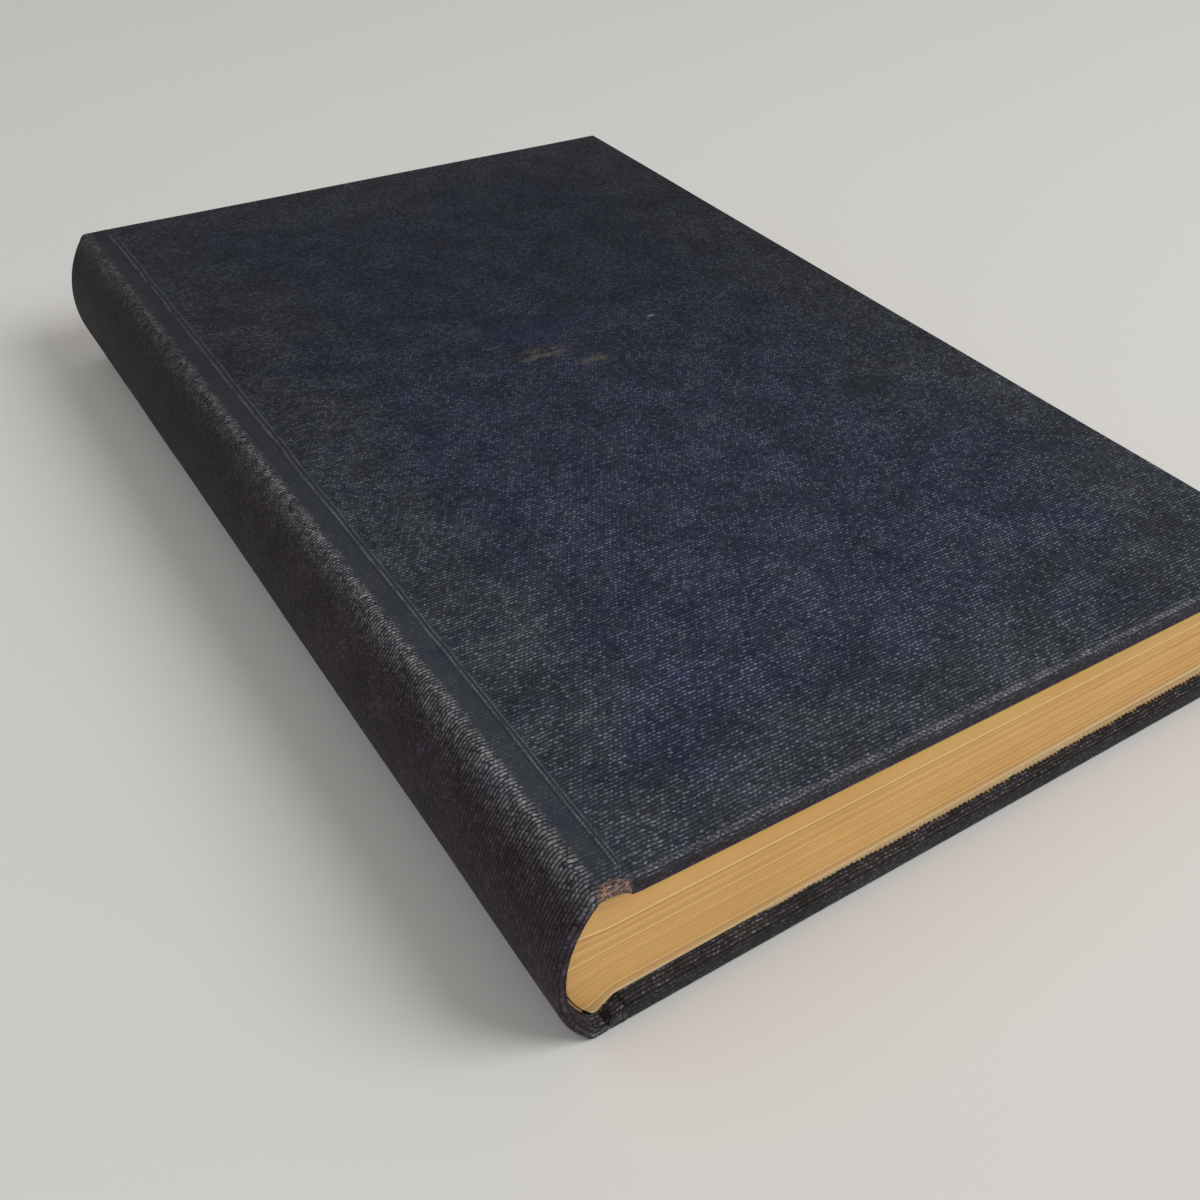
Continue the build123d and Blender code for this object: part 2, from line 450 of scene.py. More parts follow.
def cover_wave(place):
    """How far the covers lie above or below flat; the underside stays flat on the table."""
    if place.z < 0.6:
        return 0.0
    return unevenness(place.x, place.y, 0.0, 0.12, 38.0)


FOLD_RECESS = 0.35
FLAP_END = 28.2              # the gauze under the endpaper ends this far from the hinge line
FLAP_HALF_HEIGHT = 95.0


def fold_step(along, y):
    """0 under the folded-in cloth, 1 where the board lies a cloth's thickness lower behind it."""
    inside_fold = min(COVER_LENGTH - TURN_IN - along, HALF_HEIGHT - TURN_IN - abs(y))
    return clamp(inside_fold / 1.2 + 0.5)


def flap_step(along, y):
    """1 where the gauze lies under the glued endpaper, 0 beyond it."""
    inside_flap = min(FLAP_END - along, FLAP_HALF_HEIGHT - abs(y))
    return clamp(inside_flap / 0.8 + 0.5)


END_REACH = 6.2              # the groove is drawn level within this far of the head and tail
END_SOFTNESS = 3.6


def near_ends(y):
    """1 at the head and tail of the case, 0 from a few millimetres in."""
    share = clamp((abs(y) - (HALF_HEIGHT - END_REACH)) / END_SOFTNESS)
    return share * share * (3 - 2 * share)


FORE_ROUNDING = 0.9          # outer edge of the covers at the fore edge
INNER_ROUNDING = 0.5
FORE_STEPS = 5
RIM_STEPS = 4                # steps round each edge of the case at the head and tail
ROWS_ALONG = 64
FINE_ROWS = (0.0, 0.35, 0.8, 1.4, 2.0, 2.6, 3.2, 3.9, 4.7, 5.6, 7.0, 9.4, 12.4, 13.5, 14.1, 14.7, 16.0)


def case_half(name, side, stands_for):
    """Half of the case: spine shell, groove and board in one closed skin of cloth."""
    stations = section_stations(side)
    bm = bmesh.new()
    uv = bm.loops.layers.uv.new("cloth")
    edge_layer = bm.verts.layers.float.new("edge")
    inside_layer = bm.verts.layers.float.new("inside")
    row_count = len(end_spacing(1.0, ROWS_ALONG, FINE_ROWS))

    def ring_shape(half, top, bottom, depth):
        """One ring of the skin: y, depth, unrolled y, edge nearness and whether it is inside."""
        flat = end_spacing(half - top, ROWS_ALONG, FINE_ROWS)
        under = end_spacing(half - bottom, ROWS_ALONG, FINE_ROWS)
        shape = []
        for y in flat:
            near = max(0.0, 1 - (half - top - abs(y)) / 1.8)
            shape.append((y, 0.0, y, near * 0.8, 0.0))
        for end in (1, -1):
            side_points = []
            for i in range(1, RIM_STEPS + 1):
                turn = math.pi / 2 * i / RIM_STEPS
                side_points.append((half - top + top * math.sin(turn), top - top * math.cos(turn),
                                    1.0 - 0.75 * (i / RIM_STEPS) ** 2))
            for share in (0.35, 0.7):
                side_points.append((half, top + (depth - top - bottom) * share, 0.12))
            for i in range(RIM_STEPS):
                turn = math.pi / 2 * i / RIM_STEPS
                side_points.append((half - bottom + bottom * math.cos(turn),
                                    depth - bottom + bottom * math.sin(turn), 0.3))
            unrolled = half - top
            last = (half - top, 0.0)
            rim = []
            for y, d, near in side_points:
                unrolled += math.hypot(y - last[0], d - last[1])
                last = (y, d)
                rim.append((end * y, d, end * unrolled, near, 0.0))
            if end == 1:
                shape += rim
                shape += [(y, depth, y, 0.15, 1.0) for y in reversed(under)]
            else:
                shape += list(reversed(rim))
        return shape

    depth_first = (stations[0][1] - stations[0][0]).length
    ring_size = len(ring_shape(HALF_HEIGHT, stations[0][2], stations[0][3], depth_first))
    rings = [(station, HALF_HEIGHT, 0.0) for station in stations]
    top, bottom = stations[-1][2], stations[-1][3]
    for i in range(1, FORE_STEPS + 1):
        turn = math.pi / 2 * i / FORE_STEPS
        round_in = FORE_ROUNDING * math.cos(turn)
        reach = COVER_LENGTH - FORE_ROUNDING + FORE_ROUNDING * math.sin(turn)
        outer = on_cover(side, reach, FORE_ROUNDING - round_in)
        inner = on_cover(side, reach, COVER_THICKNESS - INNER_ROUNDING + INNER_ROUNDING * math.cos(turn))
        roundings = [max(0.05, rounding * math.cos(turn)) for rounding in (top, bottom)]
        station = [outer, inner, *roundings, 0.0, 0.0]
        rings.append((station, HALF_HEIGHT - FORE_ROUNDING + round_in, i / FORE_STEPS))

    loop = bmesh.ops.create_circle(bm, segments=ring_size, radius=1.0)["verts"]
    edges = list(bm.edges)
    walked = 0.0
    columns = []
    previous = None
    info = {}
    for number, (station, half, turned) in enumerate(rings):
        outer, inner = station[0], station[1]
        if previous is not None:
            walked += (outer - previous).length
            made = bmesh.ops.extrude_edge_only(bm, edges=edges)["geom"]
            fresh = set(of_kind(made, bmesh.types.BMVert))
            partner = {}
            for v in fresh:
                for e in v.link_edges:
                    other = e.other_vert(v)
                    if other not in fresh:
                        partner[other] = v
            loop = [partner[v] for v in loop]
            edges = of_kind(made, bmesh.types.BMEdge)
        previous = outer
        depth = (inner - outer).length
        inwards = (inner - outer) / depth
        for v, (y, d, unrolled, near, inside) in zip(loop, ring_shape(half, station[2], station[3], depth)):
            ends = near_ends(y)
            bunch = 1.0 - 0.3 * abs(noise.noise(Vector((number * 0.45, y * 0.9, 3.0))))
            share = d / depth
            deep = d + ends * (station[5] * bunch * share - station[4] * (1 - share))
            place = outer + inwards * deep
            along = (place - HINGE[side]).dot(ALONG[side])
            if inside and along > BOARD_INSIDE:
                place -= inwards * FOLD_RECESS * fold_step(along, y)
            v.co = Vector((place.x, y, place.z))
            v.co.z += cover_wave(v.co) * clamp(along / FLAT_JOINT) * (1 - INNER_CALM * share)
            v[edge_layer] = max(near, turned * (1 - d / COVER_THICKNESS), 0.0)
            v[inside_layer] = inside
            info[v] = (number, walked, unrolled, y)
        columns.append(list(loop))

    for chain in (columns[0], columns[-1]):
        fill_ring(bm, chain, row_count)

    sign = 1.0 if side == "front" else -1.0
    for face in bm.faces:
        face.smooth = True
        flat_inside = all(v[inside_layer] > 0.5 for v in face.verts)
        for corner in face.loops:
            number, length, unrolled, y = info[corner.vert]
            corner[uv].uv = (sign * length, y if flat_inside else unrolled)
    seam = set(columns[0])
    for edge in bm.edges:
        if edge.verts[0] in seam and edge.verts[1] in seam:
            edge.smooth = False
    bmesh.ops.recalc_face_normals(bm, faces=bm.faces)

    for v in bm.verts:
        v.co.x += unevenness(7.0, v.co.y, v.co.z, 0.10, 26.0)
    piece = finish_piece(bm, name, CASE_CLOTH)
    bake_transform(piece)
    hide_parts(*stands_for)
    return piece


def fill_ring(bm, ring, row_count):
    """Close one end of the skin: the top row to the bottom row, then the two short rims."""
    rim = 2 * RIM_STEPS + 2
    top = ring[:row_count]
    head = ring[row_count:row_count + rim]
    under = ring[row_count + rim:2 * row_count + rim]
    tail = ring[2 * row_count + rim:]

    def edges_of(chain):
        return [bm.edges.get((a, b)) for a, b in zip(chain, chain[1:])]

    bmesh.ops.bridge_loops(bm, edges=edges_of(top) + edges_of(list(reversed(under))))
    for end in ([top[-1], *head, under[0]], [under[-1], *tail, top[0]]):
        bmesh.ops.contextual_create(bm, geom=edges_of(end) + [bm.edges.get((end[0], end[-1]))])


def finish_piece(bm, name, material):
    """Turn a bmesh in millimetres into an object in metres."""
    bm.transform(Matrix.Scale(MM, 4))
    mesh = bpy.data.meshes.new(name)
    bm.to_mesh(mesh)
    bm.free()
    mesh.materials.append(material)
    piece = bpy.data.objects.new(name, mesh)
    bpy.context.scene.collection.objects.link(piece)
    return piece


LOOSE_THREADS = 46


def of_kind(parts, kind):
    return [part for part in parts if isinstance(part, kind)]


def extrude_on(bm, cap, first):
    """Extrude a cap again, delete the faces left inside, and give the new cap and its vertices."""
    grown = bmesh.ops.extrude_face_region(bm, geom=cap)["geom"]
    moved = of_kind(grown, bmesh.types.BMVert)
    new_cap = of_kind(grown, bmesh.types.BMFace)
    if not first:
        bmesh.ops.delete(bm, geom=[face for face in cap if face.is_valid], context="FACES")
    return new_cap, moved


def loose_thread():
    """One thread end, curling outwards from the worn place, with its faces outwards."""
    bm = bmesh.new()
    uv = bm.loops.layers.uv.new("cloth")
    along = -2.5 + 5.2 * rng.random()
    start = Vector((along, -HALF_HEIGHT + 0.25 + 0.5 * rng.random(), 0.42 + 0.25 * rng.random()))
    heading = Vector((rng.uniform(-0.7, 0.7), -1.0, rng.uniform(0.1, 0.9))).normalized()
    length = rng.uniform(0.5, 1.25)
    thickness = rng.uniform(0.05, 0.09)
    made = bmesh.ops.create_circle(bm, cap_ends=True, segments=5, radius=thickness)["verts"]
    turn = heading.to_track_quat("Z", "Y").to_matrix().to_4x4()
    bmesh.ops.transform(bm, matrix=Matrix.Translation(start) @ turn, verts=made)
    tip = list(made[0].link_faces)
    for step in range(4):
        tip, ring = extrude_on(bm, tip, step == 0)
        heading = (heading + Vector((rng.uniform(-0.5, 0.5), 0.15, rng.uniform(0.0, 0.5)))).normalized()
        bmesh.ops.translate(bm, verts=ring, vec=heading * length / 4)
        middle = sum((v.co for v in ring), Vector()) / len(ring)
        bmesh.ops.scale(bm, verts=ring, vec=(0.8, 0.8, 0.8), space=Matrix.Translation(-middle))
    for face in bm.faces:
        face.smooth = True
        for corner in face.loops:
            place = corner.vert.co
            corner[uv].uv = (place.x, place.y + place.z)
    for v in bm.verts:
        v.co = on_cover("front", v.co.x, v.co.z, v.co.y)
    bmesh.ops.recalc_face_normals(bm, faces=bm.faces)
    if bm.calc_volume(signed=True) < 0:
        bmesh.ops.reverse_faces(bm, faces=bm.faces)
    mesh = bpy.data.meshes.new("loose_thread")
    bm.to_mesh(mesh)
    bm.free()
    return mesh


def frayed_threads():
    """Loose thread ends where the cloth is worn through at the tail of the front joint."""
    bm = bmesh.new()
    for _ in range(LOOSE_THREADS):
        mesh = loose_thread()
        bm.from_mesh(mesh)
        bpy.data.meshes.remove(mesh)
    piece = finish_piece(bm, "frayed_threads", BARE_THREADS)
    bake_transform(piece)
    return piece


# ---------------------------------------------------------------- materials

def shade_by(tree, tone, factor):
    """A colour made lighter or darker by a factor that changes over the surface."""
    node = add_node(tree, "ShaderNodeVectorMath", tone, operation="SCALE")
    tree.links.new(factor, node.inputs["Scale"])
    return node.outputs[0]


def ellipse(tree, flat, across, along, reach_across, reach_along):
    """1 in the middle of a spot on the unrolled cloth, 0 outside it."""
    far = [calc(tree, "POWER", calc(tree, "DIVIDE", minus(tree, flat[i], centre), reach), 2.0)
           for i, centre, reach in ((0, across, reach_across), (1, along, reach_along))]
    return ramp(tree, plus(tree, far[0], far[1]), 0.0, 1.0, 1.0, 0.0)


def make_case_cloth():
    """Dark blue book cloth: starched linen weave, pressed smooth in the groove, rubbed on its edges, with
    painted highlights and painted shade.
    """
    material, tree, surface = new_material("case_cloth", Roughness=0.5, Specular_IOR_Level=0.12)
    uv = add_node(tree, "ShaderNodeUVMap", uv_map="cloth").outputs[0]
    flat = split(tree, uv)
    round_case = calc(tree, "ABSOLUTE", flat[0])
    from_middle = calc(tree, "ABSOLUTE", flat[1])
    edge = add_node(tree, "ShaderNodeAttribute", attribute_name="edge").outputs["Fac"]
    inside = add_node(tree, "ShaderNodeAttribute", attribute_name="inside").outputs["Fac"]
    outside = minus(tree, 1.0, inside)
    threads = use_group(tree, WOVEN_THREADS, Vector=uv, Pitch_Across=0.79, Pitch_Along=0.635, Wander=1.5,
                        Crossings=0.45)
    dome, chance, spot = threads["Dome"], threads["Strength"], threads["Spot"]
    fuzz = cloud(tree, uv, 3.2, 3.0, 0.65)

    # Cloth dye: bluer in the middle of the board, greyer where hands and shelves rubbed it
    slow = cloud(tree, uv, 0.028, 5.0, 0.6)
    mottle = cloud(tree, uv, 0.16, 6.0, 0.7)
    on_board = minus(tree, round_case, CREASE)
    from_side = calc(tree, "MINIMUM", on_board, minus(tree, COVER_LENGTH - GROOVE_HALF, on_board))
    from_end = minus(tree, HALF_HEIGHT, from_middle)
    from_border = calc(tree, "MINIMUM", from_side, from_end)
    border_wave = times(tree, minus(tree, slow, 0.5), 90.0)
    worn_border = ramp(tree, plus(tree, from_border, border_wave), 4.0, 32.0, 1.0, 0.0)
    dye = mix(tree, worn_border, colour(38, 43, 59), colour(46, 49, 54))
    dye = mix(tree, ramp(tree, mottle, 0.42, 0.72, 0.0, 0.4), dye, colour(48, 49, 52))
    dye = mix(tree, ramp(tree, mottle, 0.58, 0.30, 0.0, 0.35), dye, colour(29, 35, 56))

    # The spine has painted shade and a painted warm reflection: darker and browner than the covers; the
    # folded-in cloth inside is brown-black
    on_spine = ramp(tree, round_case, RIDGE - 4.5, RIDGE - 0.2, 1.0, 0.0)
    dye = mix(tree, times(tree, on_spine, 0.95), dye, colour(40, 33, 40))
    dye = mix(tree, times(tree, inside, 0.6), dye, colour(46, 41, 41))

    # Where the joint was ironed, the weave is pressed nearly flat
    pressed = times(
        tree, ramp(tree, round_case, RIDGE + 0.9, RIDGE + 2.0),
        ramp(tree, round_case, CREASE + 0.6, CREASE + 1.3, 1.0, 0.0),
        ramp(tree, from_middle, HALF_HEIGHT - 6.0, HALF_HEIGHT - 2.0, 1.0, 0.3), outside,
    )
    grain = minus(tree, 1.0, times(tree, pressed, 0.8))

    # Each thread crossing: painted shade in the dark gaps, painted light on the paler tops of uneven strength
    top = times(tree, dome, sloped(tree, chance, 0.9, 0.45))
    patchy = ramp(tree, cloud(tree, uv, 0.1, 4.0, 0.6), 0.34, 0.66, 0.75, 1.15)
    tone = sloped(tree, top, 1.9, 0.36)
    tone = plus(tree, tone, sloped(tree, fuzz, 1.1, -0.55))
    tone = calc(tree, "MAXIMUM", times(tree, tone, patchy), 0.15)
    tone = sloped(tree, minus(tree, tone, 0.95), grain, 0.95)
    # Lighter towards the tail, a little darker towards the fore edge
    towards_tail = ramp(tree, flat[1], 70.0, -100.0)
    tone = times(tree, tone, sloped(tree, towards_tail, 0.74, 0.68),
                 ramp(tree, on_board, 50.0, 120.0, 1.0, 0.84))
    dye = shade_by(tree, dye, tone)

    # Small pale glints on some crossings: painted highlights on worn thread tops, more of them towards the
    # tail and in patches
    lucky = ramp(tree, plus(tree, chance, sloped(tree, patchy, 0.6, -0.58)), 0.45, 1.1)
    wear_and_painted_glint = times(tree, ramp(tree, spot, 0.1, 0.9), lucky, grain,
                  sloped(tree, towards_tail, 0.72, 0.2), sloped(tree, on_spine, -0.9, 1.0))
    dye = mix(tree, wear_and_painted_glint, dye, colour(138, 142, 149))

    # Crease beside the board: two painted highlight lines with a painted shade line between them, closer at
    # the tail
    along_crease = cloud(tree, stretch(tree, uv, (0.9, 0.22, 1.0)), 1.0, 5.0, 0.75)
    beaded = sloped(tree, ramp(tree, dome, 0.05, 0.6), 0.7, 0.3)
    drawn = times(tree, outside, ramp(tree, from_middle, HALF_HEIGHT - 5.0, HALF_HEIGHT - 1.5, 1.0, 0.1))
    broken = times(tree, ramp(tree, along_crease, 0.32, 0.56), beaded, drawn,
                   sloped(tree, towards_tail, 0.5, 0.5))
    sway = sloped(tree, cloud(tree, stretch(tree, uv, (0.0, 1.0, 1.0)), 0.06, 2.0), 0.7, -0.35)
    off_crease = calc(tree, "DIVIDE", plus(tree, minus(tree, round_case, CREASE), sway),
                      ramp(tree, flat[1], -HALF_HEIGHT, 60.0, 0.6, 1.0))
    for offset, reach, share, tint in ((-0.10, 0.50, 1.0, colour(124, 128, 134)),
                                       (0.50, 0.36, 0.8, colour(13, 16, 21)),
                                       (0.98, 0.36, 0.7, colour(104, 109, 115))):
        painted_crease_line = times(tree, stripe(tree, off_crease, offset, reach), broken)
        dye = mix(tree, times(tree, painted_crease_line, share), dye, tint)

    # Rubbed ridge with a painted highlight: grey thread tops, worn and lit, brightest beside the groove and
    # soon gone round the spine
    rub_and_sheen = ramp(tree, cloud(tree, stretch(tree, uv, (1.0, 0.3, 1.0)), 0.5, 5.0, 0.7), 0.3, 0.66)
    peaks = times(tree, ramp(tree, dome, 0.15, 0.8), sloped(tree, chance, 0.7, 0.4))
    for centre, reach, share in ((RIDGE + 0.6, 1.5, 1.0), (RIDGE - 1.0, 2.6, 0.6), (RIDGE - 2.6, 4.5, 0.22)):
        wear_and_highlight = times(tree, stripe(tree, round_case, centre, reach), sloped(tree, rub_and_sheen, 0.75, 0.25),
                     peaks, outside, sloped(tree, towards_tail, 0.55, 0.45), share)
        dye = mix(tree, wear_and_highlight, dye, colour(150, 146, 143))

    # Rubbed edges of the boards with painted highlights: specks and short dashes where the threads turn over
    # the edge
    rank = times(tree, plus(tree, times(tree, flat[0], 0.85), flat[1]), 7.9)
    rank = calc(tree, "SINE", plus(tree, rank, times(tree, fuzz, 7.0)))
    specks = cloud(tree, uv, 2.6, 2.0, 0.6)
    dashes = times(tree, ramp(tree, rank, -0.5, 0.9), ramp(tree, specks, 0.42, 0.62))
    worn_and_lit_edge = times(
        tree, ramp(tree, edge, 0.55, 1.0), sloped(tree, rub_and_sheen, 0.9, 0.1),
        ramp(tree, on_board, 0.0, 110.0, 0.6, 1.15), ramp(tree, on_board, -2.0, 3.0, 0.12, 1.0),
        sloped(tree, dashes, 0.95, 0.08),
    )
    worn_and_lit_edge = calc(tree, "MINIMUM", worn_and_lit_edge, 1.0)
    dye = mix(tree, worn_and_lit_edge, dye, colour(168, 160, 158))

    # The folded rim below the edge is redder and darker
    rim = times(tree, ramp(tree, from_middle, HALF_HEIGHT + 0.5, HALF_HEIGHT + 1.1), outside)
    dye = mix(tree, times(tree, rim, 0.55), dye, colour(36, 27, 29))

    # Marks on the front cover: a rubbed place in the middle, a pale fleck, a dark blotch
    cloudy = cloud(tree, stretch(tree, uv, (0.5, 1.2, 1.0)), 0.55, 5.0, 0.7)
    for across, along, wide, high, low, share, tint in (
        (58.0, 9.0, 7.0, 3.4, 0.46, 0.62, colour(104, 93, 78)),
        (66.0, 2.5, 5.0, 2.6, 0.46, 0.55, colour(98, 89, 74)),
        (51.0, 16.0, 4.0, 2.6, 0.48, 0.46, colour(90, 83, 74)),
        (86.2, 12.3, 1.5, 0.7, 0.38, 0.75, colour(150, 142, 122)),
        (64.3, -96.7, 0.9, 0.32, 0.38, 0.4, colour(140, 137, 132)),
        (105.8, -32.3, 7.5, 4.6, 0.30, 0.55, colour(20, 26, 26)),
        (62.0, 19.0, 17.0, 6.0, 0.35, 0.45, colour(24, 30, 56)),
    ):
        mark = times(tree, ellipse(tree, flat, CREASE + across, along, wide, high),
                     ramp(tree, cloudy, low, low + 0.12), share)
        dye = mix(tree, mark, dye, tint)

    # Worn through at the tail of the front joint: bare brown threads
    fray = ellipse(tree, flat, CREASE - 2.6, -HALF_HEIGHT - 0.5, 3.3, 2.4)
    fray = times(tree, ramp(tree, fray, 0.05, 0.5), outside)
    fibres = cloud(tree, stretch(tree, uv, (0.9, 2.6, 1.0)), 1.1, 3.0, 0.7, 1.2)
    bare = times(tree, fray, ramp(tree, fibres, 0.34, 0.58))
    undyed = mix(tree, ramp(tree, fibres, 0.5, 0.72), colour(118, 88, 74), colour(204, 176, 156))
    dye = mix(tree, bare, dye, undyed)

    rough = minus(tree, 0.62, times(tree, wear_and_painted_glint, 0.25))
    rough = minus(tree, rough, times(tree, pressed, 0.12))
    tree.links.new(rough, surface.inputs["Roughness"])
    relief = times(tree, dome, sloped(tree, chance, 0.5, 0.5), grain)
    relief = plus(tree, relief, times(tree, fuzz, 0.35))
    relief = plus(tree, relief, times(tree, fray, fibres, 2.0))
    finish_surface(tree, surface, dye, relief, 0.00016)
    return material


def make_page_edges():
    """The cut edges of the leaves: fine lines that follow each leaf, a few gatherings standing out."""
    material, tree, surface = new_material("page_edges", Roughness=0.8, Specular_IOR_Level=0.2)
    leaf = add_node(tree, "ShaderNodeAttribute", attribute_name="leaf").outputs["Fac"]
    place = add_node(tree, "ShaderNodeTexCoord").outputs["Object"]
    spot = split(tree, place)
    tones = use_group(tree, AGED_PAPER, Vector=place, Cloud_Scale=45.0, Fibre_Scale=1800.0)

    def lines(count, run):
        vector = join(tree, times(tree, spot[0], run), times(tree, leaf, count), times(tree, spot[1], run))
        return cloud(tree, vector, 1.0, 2.0, 0.5)

    coarse, fine, single = lines(30.0, 3.0), lines(100.0, 5.0), lines(280.0, 8.0)
    tan = mix(tree, ramp(tree, tones["Cloud"], 0.3, 0.7), colour(228, 176, 106), colour(236, 187, 116))
    tan = mix(tree, ramp(tree, coarse, 0.40, 0.64, 0.0, 0.3), tan, colour(212, 172, 116))
    crowded = ramp(tree, leaf, 0.74, 0.56, 0.35, 1.0)
    shadow = times(tree, ramp(tree, fine, 0.58, 0.38, 0.0, 0.3), crowded)
    tan = mix(tree, shadow, tan, colour(160, 116, 64))
    thin_shadow = times(tree, ramp(tree, single, 0.50, 0.34, 0.0, 0.4), crowded)
    tan = mix(tree, thin_shadow, tan, colour(150, 108, 60))
    tan = mix(tree, ramp(tree, single, 0.52, 0.70, 0.0, 0.45), tan, colour(232, 194, 136))
    # Pale lines of gatherings that stand out, each with a painted shade line just below
    for centre, reach, share in ((0.652, 0.010, 0.95), (0.462, 0.009, 0.7), (0.345, 0.007, 0.3),
                                 (0.090, 0.009, 0.9), (0.045, 0.007, 0.6), (0.016, 0.022, 1.0),
                                 (0.86, 0.007, 0.3), (0.21, 0.007, 0.3)):
        tan = mix(tree, times(tree, stripe(tree, leaf, centre, reach), share), tan,
                  colour(248, 216, 162))
        tan = mix(tree, times(tree, stripe(tree, leaf, centre - reach * 1.6, reach), share * 0.5),
                  tan, colour(150, 108, 60))
    # A crack between gatherings near the spine, its dark line painted shade
    crack_shade = times(tree, stripe(tree, leaf, 0.662, 0.012), ramp(tree, spot[0], -0.0690, -0.0655, 1.0, 0.0))
    tan = mix(tree, times(tree, crack_shade, 0.85), tan, colour(60, 40, 24))
    height = plus(tree, times(tree, fine, 0.5), times(tree, single, 0.5))
    finish_surface(tree, surface, tan, height, 0.00012, 0.7)
    return material


def make_paper(name, pale, toned, scale=30.0, coordinate="Object", fibre=2500.0, glued_edge=None):
    """Plain endpaper or lining paper; a glued sheet is browner beyond glued_edge from its middle."""
    material, tree, surface = new_material(name, Roughness=0.85, Specular_IOR_Level=0.2)
    place = add_node(tree, "ShaderNodeTexCoord").outputs[coordinate]
    tones = use_group(tree, AGED_PAPER, Vector=place, Cloud_Scale=scale, Fibre_Scale=fibre)
    shade = mix(tree, ramp(tree, tones["Cloud"], 0.3, 0.72), pale, toned)
    shade = mix(tree, ramp(tree, tones["Fibre"], 0.55, 0.8, 0.0, 0.35), shade, toned)
    if glued_edge is not None:
        along_spine = split(tree, place)[1]
        beyond = ramp(tree, calc(tree, "ABSOLUTE", along_spine), glued_edge, glued_edge + 0.9)
        shade = mix(tree, beyond, shade, colour(150, 116, 76))
    finish_surface(tree, surface, shade, tones["Fibre"], 0.00004, 0.5)
    return material


def make_bare_threads():
    """Undyed thread with scraps of blue dye left on it."""
    material, tree, surface = new_material("bare_threads", Roughness=0.85, Specular_IOR_Level=0.2)
    place = add_node(tree, "ShaderNodeUVMap", uv_map="cloth").outputs[0]
    scraps = cloud(tree, place, 1.4, 3.0, 0.6)
    shade = mix(tree, ramp(tree, scraps, 0.4, 0.62), colour(206, 176, 154), colour(132, 104, 92))
    shade = mix(tree, ramp(tree, scraps, 0.62, 0.7), shade, colour(48, 46, 52))
    finish_surface(tree, surface, shade, cloud(tree, place, 5.0), 0.00003)
    return material


def make_gauze():
    """Starched open-weave gauze under the pastedowns and round the back of the pages."""
    material, tree, surface = new_material("mull_gauze", Roughness=0.9, Specular_IOR_Level=0.15)
    place = add_node(tree, "ShaderNodeTexCoord").outputs["Object"]
    spot = split(tree, place)
    across = plus(tree, times(tree, spot[0], 1 / MM), times(tree, spot[2], 1 / MM))
    vector = join(tree, across, times(tree, spot[1], 1 / MM))
    threads = use_group(tree, WOVEN_THREADS, Vector=vector, Pitch_Across=1.1, Pitch_Along=1.1, Wander=0.4)
    shade = mix(tree, ramp(tree, threads["Dome"], 0.1, 0.7), colour(150, 124, 84), colour(205, 190, 158))
    finish_surface(tree, surface, shade, threads["Dome"], 0.0001)
    return material


CASE_CLOTH = make_case_cloth()
PAGE_EDGES = make_page_edges()
ENDPAPER = make_paper("endpaper_sheet", colour(232, 206, 162), colour(220, 190, 143))
PASTEDOWN_PAPER = make_paper("pastedown_sheet", colour(222, 197, 154), colour(206, 177, 130),
                             scale=0.03, coordinate="UV", fibre=2.5, glued_edge=HALF_HEIGHT - 3.2)
LINING_PAPER = make_paper("spine_lining_paper", colour(188, 150, 100), colour(164, 126, 80))
MULL_GAUZE = make_gauze()
BARE_THREADS = make_bare_threads()


# ---------------------------------------------------------------- pages

LEAF_COLUMNS = 60
LEAF_ROWS = 150
PAGE_SEGMENTS = 10
SHOULDER_TOP = 1.55          # inwards from the covers' outer faces
PAGE_FACE = 3.75
PAGE_LIFT = 1.2
PAGE_END = COVER_LENGTH - 2.8
SHOULDER_FLAT_END = -0.1
SHOULDER_END = 2.7
SHOULDER_SETBACK = 0.8
BEND_RUN = 0.18              # each leaf bends to the spine in this share of its run
FORE_HOLLOW = 3.0


def page_face_place(side, along):
    """A place on the first or last page, at one distance along the cover."""
    lift = PAGE_LIFT if side == "back" else 0.0
    share = max(0.0, (along - SHOULDER_END) / (PAGE_END - SHOULDER_END))
    return on_cover(side, along, PAGE_FACE + lift * share)


def leaf_place(leaf, run):
    """A place in the pages' section: leaf from 0 at the back to 1 at the front, run from the spine."""
    starts = [on_cover(side, -SHOULDER_SETBACK, SHOULDER_TOP) for side in ("back", "front")]
    middle = Vector((PAGE_BACK_X, 0, HINGE["front"].z / 2))
    centre, radius = circle_through(starts[0], middle, starts[1])
    high_turn = math.atan2(starts[1].z - centre.z, centre.x - starts[1].x)
    low_turn = math.atan2(starts[0].z - centre.z, centre.x - starts[0].x)
    turn = low_turn + (high_turn - low_turn) * leaf
    start = centre + Vector((-math.cos(turn), 0, math.sin(turn))) * radius
    low_end, high_end = page_face_place("back", PAGE_END), page_face_place("front", PAGE_END)
    fore_middle = (low_end + high_end) / 2 - Vector((FORE_HOLLOW, 0, 0))
    fore_centre, fore_radius = circle_through(low_end, fore_middle, high_end)
    end = low_end.lerp(high_end, leaf)
    end.x = fore_centre.x - math.sqrt(max(0.0, fore_radius ** 2 - (end.z - fore_centre.z) ** 2))
    shoulder = page_face_place("back", SHOULDER_END).lerp(page_face_place("front", SHOULDER_END), leaf)
    if run >= BEND_RUN:
        return shoulder.lerp(end, (run - BEND_RUN) / (1 - BEND_RUN))
    share = run / BEND_RUN
    x = start.x + (shoulder.x - start.x) * share
    flat = (SHOULDER_FLAT_END + SHOULDER_SETBACK) / (SHOULDER_END + SHOULDER_SETBACK)
    near_cover = abs(leaf * 2 - 1) ** 6
    hold = flat * near_cover
    rise = 0.0 if share < hold else (share - hold) / (1 - hold)
    calm = rise * rise * (3 - 2 * rise)
    rise = calm + (rise - calm) * near_cover
    return Vector((x, 0, start.z + (shoulder.z - start.z) * rise))


